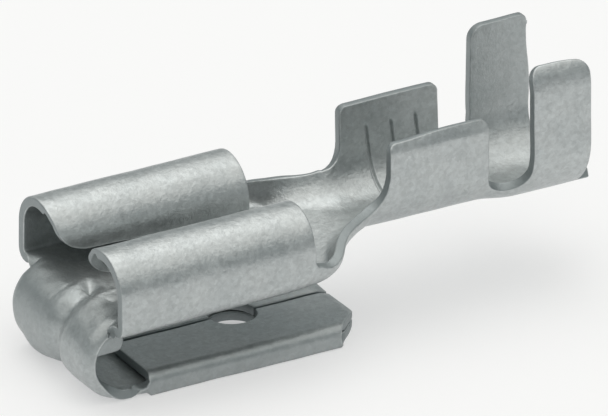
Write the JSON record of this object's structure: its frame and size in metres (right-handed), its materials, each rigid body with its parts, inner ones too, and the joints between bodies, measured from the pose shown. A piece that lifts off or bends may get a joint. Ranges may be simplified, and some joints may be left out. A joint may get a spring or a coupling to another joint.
{
  "type": "piggyback female spade terminal",
  "caption": "Piggyback female spade terminal: a rolled receptacle for a tab, a folded male branch tab beneath it, and open wire and insulation crimp barrels behind.",
  "frame": {"origin": "middle of the part's length and width, at the flat underside of the male tab", "axes": "+X from the receptacle's mouth towards the wire, +Z from the male tab up to the tips of the crimp wings, +Y across"},
  "size_m": [0.023, 0.0082, 0.0093],
  "materials": {
    "tin_plate": "dull tin plating over brass"
  },
  "bodies": {
    "root": {"terminal": "tin_plate"}
  },
  "joints": []
}
